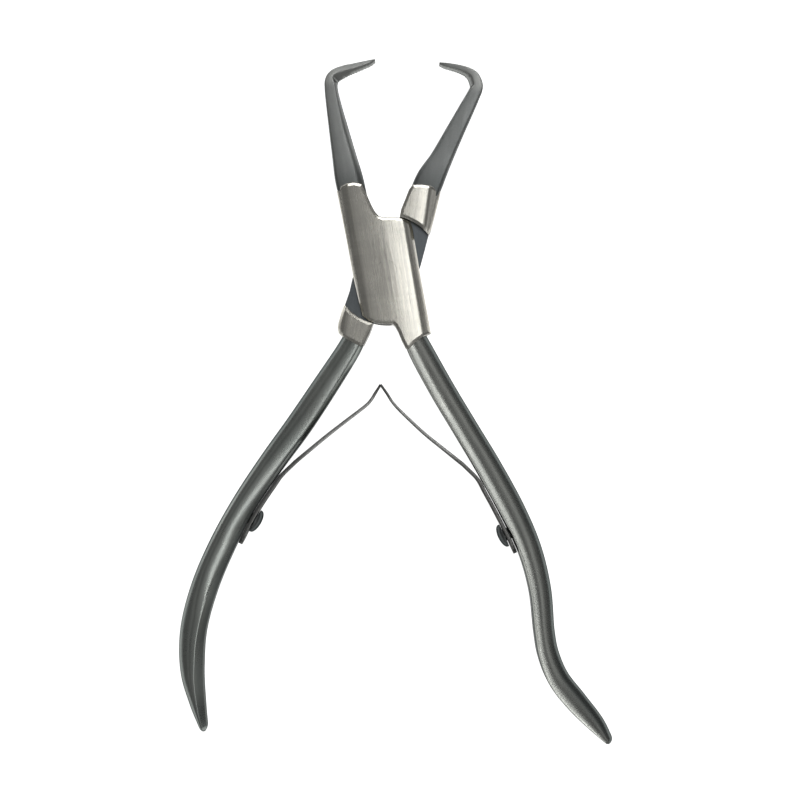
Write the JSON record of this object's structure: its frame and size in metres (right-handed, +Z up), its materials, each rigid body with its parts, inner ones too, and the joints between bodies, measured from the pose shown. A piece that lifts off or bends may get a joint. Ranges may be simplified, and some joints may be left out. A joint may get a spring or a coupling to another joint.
{
  "type": "box-joint hooked-jaw pliers",
  "caption": "Slim steel pliers with a box joint, long jaws whose tips hook inward to meet, curved handles and leaf return springs between them.",
  "frame": {"origin": "on the pivot axis, at the underside of the box that the tool lies on", "axes": "+Y towards the jaw tips, +Z up out of the box face along the pivot, +X towards the box lever's handle side"},
  "size_m": [0.102, 0.1609, 0.008],
  "materials": {
    "lever_steel": "satin, brushed on the pads",
    "pin_steel": "ground flush",
    "leaf_steel": "satin spring steel",
    "screw_steel": "dark satin"
  },
  "bodies": {
    "box_lever_body": {"box_lever": "lever_steel", "pivot_pin": "pin_steel", "right_leaf_foot": "leaf_steel", "right_spring_screw": "screw_steel"},
    "tongue_lever_body": {"tongue_lever": "lever_steel", "left_leaf_foot": "leaf_steel", "left_spring_screw": "screw_steel"},
    "left_blade_body": {"left_leaf_blade": "leaf_steel"},
    "right_blade_body": {"right_leaf_blade": "leaf_steel"}
  },
  "joints": [
    {"name": "pliers_hinge", "type": "hinge", "parent": "box_lever_body", "child": "tongue_lever_body", "pos_m": [0, 0, 0.004], "axis": [0, 0, 1], "range_deg": [0, 17.2], "stiffness_Nm_per_rad": 1.2, "springref_deg": -8.59},
    {"name": "left_spring_flex", "type": "hinge", "parent": "tongue_lever_body", "child": "left_blade_body", "pos_m": [-0.02134, -0.0446, 0.004], "axis": [0, 0, 1], "range_deg": [0, 11]},
    {"name": "right_spring_flex", "type": "hinge", "parent": "box_lever_body", "child": "right_blade_body", "pos_m": [0.01788, -0.0454, 0.004], "axis": [0, 0, 1], "range_deg": [-9.5, 0]}
  ],
  "couplings": [
    {"joint": "left_spring_flex", "follows": "pliers_hinge", "ratio": 0.6339},
    {"joint": "right_spring_flex", "follows": "pliers_hinge", "ratio": -0.5457}
  ]
}
